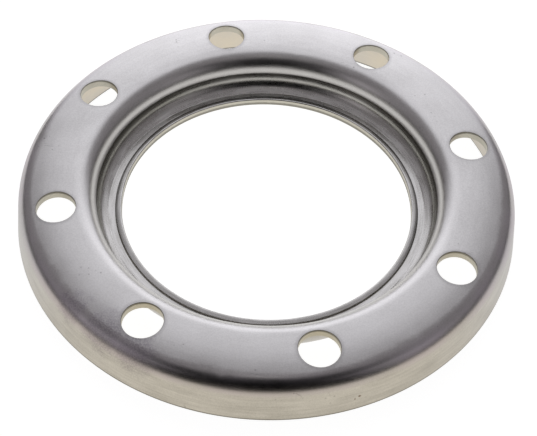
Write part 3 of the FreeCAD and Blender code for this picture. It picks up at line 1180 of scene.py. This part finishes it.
@dataclass(frozen=True)
class SteelFinish:
    """One finish of the steel, as the tones, gloss and relief of its surface.

    The tone runs from dark to light, and the shares say how much of it the clouds, the streaks,
    the lines and the grain make up. The heights are metres, and the rest are shares of an effect.
    """

    name: str
    dark: Triple
    light: Triple
    gloss: Pair
    line_density: float
    shares: tuple[float, float, float, float]
    grain_height: float
    line_height: float
    haze: float = 0.0
    torn: float = 0.0
    worn: float = 0.0
    rim_shade: float = 0.0
    bend_tint: float = 0.0
    stain: float = 0.0
    groove_shade: float = 0.0
    inside_tint: float = 0.0

    def make(self, effects: Effects) -> bpy.types.Material:
        """Build the material.

        Args:
            effects: the shared node groups.

        Returns:
            A steel whose tone, roughness and relief vary over the surface.
        """
        coat = SteelCoat(self.name, effects)
        lines = coat.group(effects.drawn_lines, Density=self.line_density)
        tone: Any = 0.0
        values = (coat.clouds, lines["Streaks"], lines["Lines"], coat.grain)
        for value, share in zip(values, self.shares):
            tone = coat.math("MULTIPLY_ADD", coat.ramp(value, 0.3, 0.7), share, tone)
        coat.colour = coat.blend(tone, rgba(*self.dark), rgba(*self.light))
        coat.rough = coat.ramp(tone, 0.0, 1.0, *self.gloss)
        coat.lift(coat.grain, self.grain_height)
        coat.lift(lines["Lines"], self.line_height)
        if self.haze:
            coat.lay(coat.group(effects.hole_haze)["Haze"], self.haze, Tint.HAZE, rough=0.06)
        if self.torn:
            torn = coat.group(effects.cut_zones)["Torn"]
            coat.lay(torn, self.torn, Tint.TORN, rough=0.16, height=6e-5)
        if self.worn:
            self.wear_down(coat, coat.group(effects.wear))
        if self.bend_tint:
            share = coat.clouded(0.3 * self.bend_tint, self.bend_tint)
            coat.lay(coat.group(effects.bend_bloom)["Bend"], share, Tint.BLOOM)
        # Painted reflection: the skirt's inner face is made lighter and warmer, in place of the lit table
        # it mirrors.
        if self.inside_tint:
            share = coat.clouded(0.6 * self.inside_tint, self.inside_tint)
            coat.lay(coat.group(effects.inner_face)["Inside"], share, Tint.INSIDE)
        # Painted shade: a dark line along the skirt's lowest edge.
        if self.rim_shade:
            coat.lay(coat.group(effects.rim_line)["Line"], self.rim_shade, Tint.RIM)
        # Painted shade: the hollow's upper part and a line in the groove round the lip are darkened.
        if self.stain:
            shade = coat.group(effects.recess_shade)
            coat.lay(shade["Hollow"], self.stain, Tint.HOLLOW)
            coat.lay(shade["Groove"], self.groove_shade, Tint.GROOVE)
        return coat.close()

    def wear_down(self, coat: SteelCoat, wear: bpy.types.NodeOutputs) -> None:
        """Put the rubbed patch with its specks, the pits and scratches and the rust on a coat.

        Args:
            coat: the material being built.
            wear: the masks of the worn places.
        """
        specks = coat.ramp(coat.grain, 0.42, 0.60, 0.38, 0.10)
        coat.lay(wear["Rubbed"], specks, Tint.SPECKS, rough=0.07, height=2.5e-5)
        bare = coat.times(coat.math("MAXIMUM", wear["Pits"], wear["Scratches"]), self.worn)
        coat.lay(bare, 1.0, Tint.BARE)
        coat.lift(bare, -2e-5)
        coat.lay(wear["Rust"], 0.75, Tint.RUST, rough=0.3)


SHEET_FINISH = SteelFinish(
    name="pickled_sheet",
    dark=(0.485, 0.470, 0.450),
    light=(0.660, 0.645, 0.620),
    gloss=(0.28, 0.36),
    line_density=1400.0,
    shares=(0.30, 0.15, 0.10, 0.45),
    grain_height=1.4e-5,
    line_height=4e-6,
    haze=0.22,
    worn=0.5,
    bend_tint=0.4,
)
CUT_FINISH = SteelFinish(
    name="cut_edge",
    dark=(0.44, 0.42, 0.355),
    light=(0.67, 0.635, 0.535),
    gloss=(0.28, 0.42),
    line_density=3000.0,
    shares=(0.20, 0.30, 0.30, 0.20),
    grain_height=1.2e-5,
    line_height=1.2e-5,
    torn=0.65,
    rim_shade=0.75,
)
TURNED_FINISH = SteelFinish(
    name="turned_recess",
    dark=(0.405, 0.39, 0.36),
    light=(0.70, 0.685, 0.65),
    gloss=(0.24, 0.32),
    line_density=1300.0,
    shares=(0.12, 0.36, 0.40, 0.12),
    grain_height=6e-6,
    line_height=1.0e-5,
    # Painted shade in the hollow and along the groove.
    stain=0.8,
    groove_shade=0.8,
)
SKIRT_FINISH = SteelFinish(
    name="drawn_skirt",
    dark=(0.43, 0.418, 0.393),
    light=(0.72, 0.703, 0.673),
    gloss=(0.28, 0.37),
    line_density=900.0,
    shares=(0.20, 0.28, 0.27, 0.25),
    grain_height=1.0e-5,
    line_height=1.2e-5,
    worn=0.4,
    rim_shade=0.75,
    bend_tint=0.4,
    # Painted reflection on the skirt's inner face.
    inside_tint=1.0,
)


@dataclass(frozen=True)
class PhotoView:
    """The camera's place, turned about the flange's axis, in metres and degrees.

    Its shifts start from the point of the axis at the aim height.
    """

    turn: float = CAMERA_TURN
    elevation: float = 49.785
    roll: float = 2.31
    distance: float = 0.6877
    shift_right: float = 1.28 * MM
    shift_up: float = -23.9 * MM
    aim_height: float = 26.9 * MM
    lens: float = 81.25
    sensor: float = 36.0
    clip: Pair = (0.01, 100.0)

    def axes(self) -> tuple[np.ndarray, np.ndarray, np.ndarray]:
        """Work out the camera's own directions without its roll.

        Returns:
            The unit vectors to the right, up and back to the camera.
        """
        turn, rise = math.radians(self.turn), math.radians(self.elevation)
        right = np.array([math.cos(turn), math.sin(turn), 0.0])
        away = np.array([-math.sin(turn), math.cos(turn), 0.0])
        back = -away * math.cos(rise) + np.array([0.0, 0.0, math.sin(rise)])
        return right, np.cross(back, right), back

    def place(self) -> None:
        """Put the scene's camera in place."""
        right, up, back = self.axes()
        roll = math.radians(self.roll)
        rolled_right = math.cos(roll) * right + math.sin(roll) * up
        rolled_up = -math.sin(roll) * right + math.cos(roll) * up
        spot = back * self.distance + right * self.shift_right + up * self.shift_up
        data = bpy.data.cameras.new("camera")
        data.lens, data.sensor_width = self.lens, self.sensor
        data.clip_start, data.clip_end = self.clip
        camera = bpy.data.objects.new("camera", data)
        bpy.context.scene.collection.objects.link(camera)
        matrix = np.eye(4)
        matrix[:3, :3] = np.stack([rolled_right, rolled_up, back], axis=1)
        matrix[:3, 3] = spot + np.array([0.0, 0.0, self.aim_height])
        camera.matrix_world = Matrix(matrix.tolist())
        bpy.context.scene.camera = camera


@dataclass(frozen=True)
class Studio:
    """A white table in a small light tent, open and dark on the camera's side.

    The tent's places are metres across, away from the camera and up, from the flange's middle.
    Each pair gives two places between which something changes smoothly, the panel's edge in parts
    of the panel's size.
    """

    turn: float = CAMERA_TURN
    half_width: float = 0.60
    back: float = 0.65
    front: float = 0.90
    top: float = 0.48
    roundness: int = 8
    turns: int = 64
    rises: int = 24
    merge: float = 1e-6
    panel_half: float = 0.40
    panel_spread: float = 1.3
    spread_start: float = 0.45
    panel_depth: float = 0.62
    panel_edge: Pair = (0.86, 1.06)
    panel_near_tone: float = 0.62
    panel_tone: float = 1.08
    near_span: Pair = (-0.02, 0.20)
    roof_dip: float = 0.12
    dip_span: Pair = (0.26, 0.44)
    rear_gain: float = 0.60
    rear_start: float = 0.46
    fade_aside: float = 0.56
    fade_span: Pair = (0.10, 0.48)
    side_tone: float = 0.26
    low_tone: float = 0.05
    low_span: Pair = (0.02, 0.20)
    gloom_tone: float = 0.0
    gloom_span: Pair = (-0.38, -0.10)
    gloom_aside: Pair = (0.25, 0.55)
    door_span: Pair = (-0.80, -0.55)
    flap_place: float = -0.36
    flap_half: float = 0.24
    flap_aside: Pair = (0.40, 0.59)
    flap_rise: Pair = (0.04, 0.26)
    flap_change: Pair = (-0.1, 0.1)
    flap_left: float = 0.40
    flap_right: float = 0.18
    panel_colour: Triple = (0.985, 0.99, 1.07)
    side_colour: Triple = (1.0, 0.95, 1.02)
    table_half: float = 8.0
    table_glow: float = 0.95
    mirrored_glow: float = 0.76
    bore_glow: float = 0.88
    bore_span: Pair = (0.085, 0.125)
    far_glow: float = 0.25
    far_span: Pair = (0.28, 0.60)
    rear_glow: float = 1.25
    rear_span: Pair = (0.02, 0.22)
    table_share: float = 0.30
    warm_table: Triple = (1.05, 0.983, 0.845)
    warm_span: Pair = (0.0, -0.15)

    def build(self) -> None:
        """Make the table, the tent and the world."""
        self.table()
        self.tent()
        self.world()

    @staticmethod
    def bare_material(name: str) -> tuple[bpy.types.Material, NodeWeb]:
        """Start a material without nodes.

        Args:
            name: of the material.

        Returns:
            The material and its web of nodes.
        """
        material = bpy.data.materials.new(name)
        material.use_nodes = True
        material.node_tree.nodes.clear()
        return material, NodeWeb(material.node_tree)

    def along(self, web: NodeWeb, x: Any, y: Any) -> tuple[Socket, Socket]:
        """Turn a place into how far it lies across and away, as the camera looks.

        Args:
            web: for the nodes.
            x: of the place.
            y: of the place.

        Returns:
            The distances across and away.
        """
        cosine, sine = math.cos(math.radians(self.turn)), math.sin(math.radians(self.turn))
        across = web.plus(web.times(x, cosine), web.times(y, sine))
        return across, web.minus(web.times(y, cosine), web.times(x, sine))

    def table(self) -> bpy.types.Object:
        """Make the table's top: white to the eye and in reflections, with the object's shadow.

        Mirrored, it is dimmer under the flange than in the bore, warm near the camera, dim far out
        and brighter again behind. Bounced light finds plain paper.

        Returns:
            The table's top.
        """
        half = self.table_half
        corners = [(-half, -half, 0.0), (half, -half, 0.0), (half, half, 0.0), (-half, half, 0.0)]
        mesh = bpy.data.meshes.new("table")
        mesh.from_pydata(corners, [], [(0, 1, 2, 3)])
        item = bpy.data.objects.new("table", mesh)
        bpy.context.scene.collection.objects.link(item)
        material, web = self.bare_material("white_table")
        mesh.materials.append(material)
        paper = web.feed_all(web.add("ShaderNodeBsdfDiffuse"), (Tint.PAPER,))
        x, y, _ = web.axes()
        away = self.along(web, x, y)[1]
        distance = web.length(x, y)
        outside = web.ramp(distance, *self.bore_span)
        warm = web.times(web.ramp(away, *self.warm_span), outside)
        near = web.ramp(outside, 0.0, 1.0, self.bore_glow, self.mirrored_glow)
        far = web.ramp(distance, *self.far_span, 1.0, self.far_glow)
        behind = web.times(web.ramp(away, *self.rear_span), web.minus(self.rear_glow, far))
        level = web.times(near, web.plus(far, behind))
        rays = web.add("ShaderNodeLightPath").outputs
        eye = web.math("MAXIMUM", rays["Is Camera Ray"], rays["Is Transmission Ray"])
        mirrored = web.blend(warm, Tint.WHITE, rgba(*self.warm_table))
        strength = web.ramp(eye, 0.0, 1.0, level, self.table_glow)
        glow = web.glow(web.blend(eye, mirrored, Tint.WHITE), strength)
        shaded = web.mix_shaders(self.table_share, web.glow(Tint.WHITE, 0.0), paper)
        lit = web.feed_all(web.add("ShaderNodeAddShader"), (shaded, glow))
        seen = web.math("MAXIMUM", eye, rays["Is Glossy Ray"])
        web.end(web.mix_shaders(seen, paper, lit))
        return item

    def tent(self) -> bpy.types.Object:
        """Make the tent: a box with rounded edges and no floor, glowing by place.

        For a direction (a, b, c) from the middle the point is that direction divided by its norm of
        the order roundness, taken with the tent's half sizes, which gives a box with soft edges.

        Returns:
            The tent, which the camera doesn't see.
        """
        azimuth = np.linspace(0.0, 2 * math.pi, self.turns, endpoint=False)[:, None]
        rise = np.linspace(0.0, math.pi / 2, self.rises)[None, :]
        depth, order = (self.back + self.front) / 2, self.roundness
        x = np.cos(rise) * np.cos(azimuth)
        y = np.cos(rise) * np.sin(azimuth)
        z = np.sin(rise) * np.ones_like(azimuth)
        norm = (np.abs(x) / self.half_width) ** order + (np.abs(y) / depth) ** order
        size = (norm + (z / self.top) ** order) ** (-1 / order)
        x, y, z = x * size, y * size + (self.back - self.front) / 2, z * size
        cosine, sine = math.cos(math.radians(self.turn)), math.sin(math.radians(self.turn))
        points = np.stack([x * cosine - y * sine, x * sine + y * cosine, z], axis=-1)
        parts = MeshParts()
        parts.add_grid(points, Surface.SHEET, flip=True)
        item = parts.build("tent", self.merge)
        item.data.materials.append(self.tent_glow())
        item.visible_camera = False
        return item

    def tent_glow(self) -> bpy.types.Material:
        """Make the tent's light: a white arched panel behind and above, grey sides, a dark front.

        The panel ends where (across / half)^2 + ((back - away) / depth)^2 is about 1. A pale flap
        hangs on each side near the camera.

        Returns:
            The tent's material.
        """
        material, web = self.bare_material("tent_glow")
        x, y, z = web.axes()
        across, away = self.along(web, x, y)
        aside = web.math("ABSOLUTE", across)
        wide = self.panel_spread * self.panel_half
        half = web.ramp(away, self.spread_start, self.back, self.panel_half, wide)
        deep = web.math("DIVIDE", web.minus(self.back, away), self.panel_depth)
        reach = web.length(web.math("DIVIDE", aside, half), deep)
        panel = web.ramp(reach, *self.panel_edge, 1.0, 0.0)
        near = web.ramp(away, *self.near_span, self.panel_near_tone, self.panel_tone)
        rear = web.ramp(away, self.rear_start, self.back, 0.0, self.rear_gain)
        dip = web.ramp(away, *self.dip_span, 0.0, self.roof_dip)
        fade = web.ramp(aside, *self.fade_span, 1.0, self.fade_aside)
        white = web.times(panel, fade, web.minus(web.plus(near, rear), dip))
        front = web.ramp(away, *self.gloom_span, 1.0, 0.0)
        narrow = web.ramp(aside, *self.gloom_aside, 1.0, 0.0)
        door = web.ramp(away, *self.door_span, 1.0, 0.0)
        gloom = web.math("MAXIMUM", web.times(front, narrow), door)
        grey = web.ramp(gloom, 0.0, 1.0, self.side_tone, self.gloom_tone)
        grey = web.times(grey, web.ramp(z, *self.low_span, self.low_tone, 1.0))
        offset = web.math("ABSOLUTE", web.minus(away, self.flap_place))
        flap = web.times(
            web.ramp(offset, 0.0, self.flap_half, 1.0, 0.0),
            web.ramp(aside, *self.flap_aside),
            web.ramp(z, *self.flap_rise),
            web.ramp(across, *self.flap_change, self.flap_left, self.flap_right),
        )
        colour = web.blend(panel, rgba(*self.side_colour), rgba(*self.panel_colour))
        web.end(web.glow(colour, web.plus(web.math("MAXIMUM", white, grey), flap)))
        return material

    def world(self) -> None:
        """Make the world plain white at the level at which a colour shows as it is written."""
        world = bpy.data.worlds.new("white")
        world.use_nodes = True
        background = world.node_tree.nodes["Background"]
        background.inputs["Color"].default_value = Tint.WHITE.value
        background.inputs["Strength"].default_value = 1.0
        bpy.context.scene.world = world


def main() -> None:
    """Dress the flange, set the studio and place the camera."""
    logging.basicConfig(level=logging.INFO)
    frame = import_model()
    bpy.context.scene.view_settings.view_transform = "Standard"
    sizes = FlangeSizes.from_frame(frame)
    effects = Effects(sizes)
    flange = PressedFlange(sizes).build()
    for finish in (SHEET_FINISH, CUT_FINISH, TURNED_FINISH, SKIRT_FINISH):
        flange.data.materials.append(finish.make(effects))
    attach(flange, "root")
    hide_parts(NODE)
    Studio().build()
    PhotoView().place()


if __name__ == "__main__":
    main()
